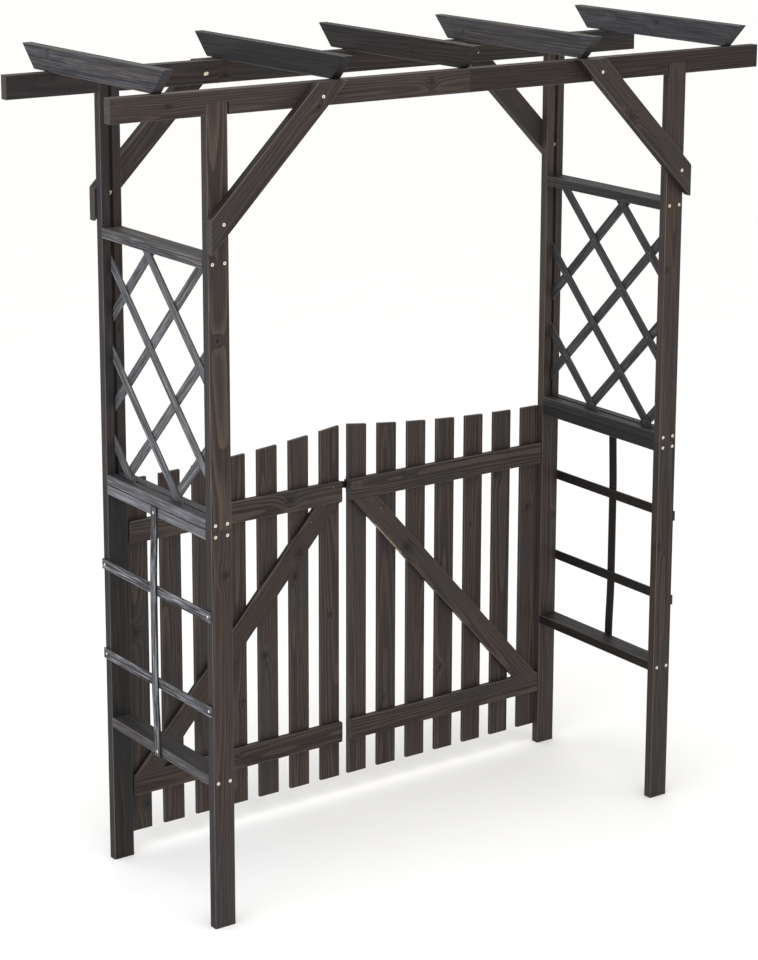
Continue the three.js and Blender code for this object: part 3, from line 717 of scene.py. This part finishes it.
# Nails where the lattice strips cross: heads toward the passage, points outside
for hand, way in (("left", -1), ("right", 1)):
    low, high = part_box(hand + "_lattice")
    middle = (low + high) / 2
    crossings = [(-way * (a - b) * latticePlan["pitch"], (a + b) * latticePlan["pitch"])
                 for a in latticePlan["innerStrips"] for b in latticePlan["outerStrips"]]
    reachY, reachZ = latticePlan["nailReach"]
    spots = [(middle[1] + y, middle[2] + z) for y, z in crossings if abs(y) < reachY and abs(z) < reachZ]
    inside = low[0] if way > 0 else high[0]
    outside = high[0] if way > 0 else low[0]
    addHeads(hand + "_lattice_nails", "frame", [(inside, y, z) for y, z in spots],
             (-way, 0, 0), nailHead, nails)
    addHeads(hand + "_lattice_nail_tips", "frame", [(outside, y, z) for y, z in spots],
             (way, 0, 0), nailPoint, nails)
print("frame screws and nails made")


# Screws of the gate: two through each picket into each rail, from the rear, and one into the diagonal
gateScrews = {
    "across": 0.016, "up": 0.018,  # from the middle of the picket and of the rail
    "diagonalMargin": 0.09,        # the line of its screws ends this share of its height from its ends
    "railTip": (0.030, 0.014),     # tips on the front: from the leaf's free edge, and down from the top
    "diagonalTip": (0.105, 0.040),
}


# Whether a plate of the bolt hides a spot on the pickets
def underPlate(x, z):
    plates = [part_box(name) for name in ("gate_bolt_guide", "gate_bolt_keeper")]
    return any(low[0] < x < high[0] and low[2] < z < high[2] for low, high in plates)


picketCount = 7
for hand, way in (("left", 1), ("right", -1)):
    leaf = hand + "_leaf"
    rear = side(leaf + "_picket_1", 1, True)
    front = side(leaf + "_upper_rail", 1, False)
    spots = []
    for rail in ("lower_rail", "upper_rail"):
        middle = boxCentre(f"{leaf}_{rail}")[2]
        for i in range(1, picketCount + 1):
            x = boxCentre(f"{leaf}_picket_{i}")[0]
            pair = [(x - way * s * gateScrews["across"], middle + s * gateScrews["up"]) for s in (1, -1)]
            spots += [(across, rear, z) for across, z in pair if not underPlate(across, z)]
    low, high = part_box(leaf + "_diagonal_brace")
    margin = gateScrews["diagonalMargin"]
    for i in range(2, picketCount):
        x = boxCentre(f"{leaf}_picket_{i}")[0]
        share = (x - low[0]) / (high[0] - low[0])
        share = share if way > 0 else 1 - share
        spots.append((x, rear, low[2] + (margin + (1 - 2 * margin) * share) * (high[2] - low[2])))
    addHeads(leaf + "_screws", leaf, spots, (0, 1, 0), screwHead, zinc)
    freeEdge = side(leaf + "_upper_rail", 0, way > 0)
    tips = []
    for piece, tip in (("_upper_rail", "railTip"), ("_diagonal_brace", "diagonalTip")):
        across, down = gateScrews[tip]
        tips.append((freeEdge - way * across, front, side(leaf + piece, 2, True) - down))
    addHeads(leaf + "_screw_tips", leaf, tips, (0, -1, 0), shortTip, nails)
print("gate screws made")


# Black screws in the holes of the hinges and in the plates of the bolt
fittings = {
    "hingeAxis": 0.704,                         # from the middle of the arch
    "strapHoles": (0.0248, 0.0682, 0.1091),     # from the hinge axis
    "plateHole": 0.022, "plateRise": 0.022,     # beside the hinge axis, above and below the middle
    "guideSpread": 0.018, "guideRise": 0.0167,
    "keeperRise": 0.018,
    "sheet": 0.002,                             # thickness of the plates
}
sheetFace = side("left_lower_hinge_plate", 1, False) + fittings["sheet"]
hingeAxis = fittings["hingeAxis"]
for hand, way in (("left", 1), ("right", -1)):
    levels = [boxCentre(f"{hand}_{level}_hinge_plate")[2] for level in ("lower", "upper")]
    plates = [(-way * (hingeAxis + fittings["plateHole"]), sheetFace, z + rise * fittings["plateRise"])
              for z in levels for rise in (-1, 1)]
    straps = [(-way * (hingeAxis - distance), sheetFace, z)
              for z in levels for distance in fittings["strapHoles"]]
    addHeads(hand + "_hinge_plate_screws", "frame", plates, (0, 1, 0), fittingScrew, steel)
    addHeads(hand + "_hinge_strap_screws", hand + "_leaf", straps, (0, 1, 0), fittingScrew, steel)
x, _, z = boxCentre("gate_bolt_guide")
guide = [(x + s * fittings["guideSpread"], sheetFace, z + r * fittings["guideRise"])
         for s in (-1, 1) for r in (-1, 1)]
addHeads("bolt_guide_screws", "left_leaf", guide, (0, 1, 0), boltScrew, steel)
x, _, z = boxCentre("gate_bolt_keeper")
keeper = [(x, sheetFace, z + r * fittings["keeperRise"]) for r in (-1, 1)]
addHeads("bolt_keeper_screws", "right_leaf", keeper, (0, 1, 0), boltScrew, steel)
print("fitting screws made")


# Studio: pale floor, white surroundings, a soft box close to the left side and one above, and a sun so
# wide that it lights like a pale ceiling. The lights: power, place, size, colour.
studio = {
    "floorColours": ("#f6f5f3", "#f2f1ef"),
    "floorHalf": 60.0,
    "surround": 1.0,
    "lights": {
        "left_soft_box": (22.0, (-2.7, -0.6, 1.2), 1.6, "#eef2ff"),
        "top_soft_box": (40.0, (-0.6, -1.0, 4.2), 3.0, "#ffffff"),
    },
    "aim": (0, 0, 1.1),
    "sunPower": 0.35, "sunAngle": 120, "sunPlace": (0, 0, 5),
}


def makeFloor():
    mesh = bpy.data.meshes.new("floor")
    half = studio["floorHalf"]
    corners = [(-half, -half, 0), (half, -half, 0), (half, half, 0), (-half, half, 0)]
    mesh.from_pydata(corners, [], [(0, 1, 2, 3)])
    mesh.materials.append(mottledFinish("pale_studio_floor", {
        "colours": studio["floorColours"], "perMetre": 3.0, "detail": 2.0,
        "shader": {"Roughness": 0.9, "Specular IOR Level": 0.1},
    }))
    floor = bpy.data.objects.new("floor", mesh)
    bpy.context.scene.collection.objects.link(floor)


def addLight(name, kind, power, place):
    light = bpy.data.lights.new(name, kind)
    light.energy = power
    lamp = bpy.data.objects.new(name, light)
    lamp.location = place
    bpy.context.scene.collection.objects.link(lamp)
    return light, lamp


makeFloor()
for name, (power, place, size, colour) in studio["lights"].items():
    light, lamp = addLight(name, "AREA", power, place)
    light.shape = "SQUARE"
    light.size = size
    light.color = linear(colour)[:3]
    aim = Vector(studio["aim"]) - Vector(place)
    lamp.rotation_euler = aim.to_track_quat("-Z", "Y").to_euler()
ceiling, _ = addLight("ceiling_light", "SUN", studio["sunPower"], studio["sunPlace"])
ceiling.angle = math.radians(studio["sunAngle"])
world = bpy.data.worlds.new("white_studio")
world.use_nodes = True
world.node_tree.nodes["Background"].inputs["Color"].default_value = (1, 1, 1, 1)
world.node_tree.nodes["Background"].inputs["Strength"].default_value = studio["surround"]
bpy.context.scene.world = world
bpy.context.scene.view_settings.view_transform = "Standard"
print("studio made")

# Camera: from the front left, above head height, a long lens
view = {
    "place": (-3.957, -5.533, 2.954),
    "yaw": 35.943, "pitch": 12.609, "roll": 0.292,  # degrees, yaw from +Y to +X
    "focalPixels": 2572.8, "shift": (-0.03, -0.16),
    "sensorWidth": 36.0, "clip": (0.1, 200.0),
}
imageHeight = 960
camera = bpy.data.cameras.new("camera")
camera.sensor_width = view["sensorWidth"]
camera.lens = view["focalPixels"] / imageHeight * camera.sensor_width
camera.shift_x, camera.shift_y = view["shift"]
camera.clip_start, camera.clip_end = view["clip"]
cameraObject = bpy.data.objects.new("camera", camera)
turn = Matrix.Rotation(-math.radians(view["yaw"]), 4, "Z")
turn = turn @ Matrix.Rotation(math.radians(90 - view["pitch"]), 4, "X")
turn = turn @ Matrix.Rotation(math.radians(view["roll"]), 4, "Z")
cameraObject.matrix_world = Matrix.Translation(view["place"]) @ turn
bpy.context.scene.collection.objects.link(cameraObject)
bpy.context.scene.camera = cameraObject

print("scene ready")
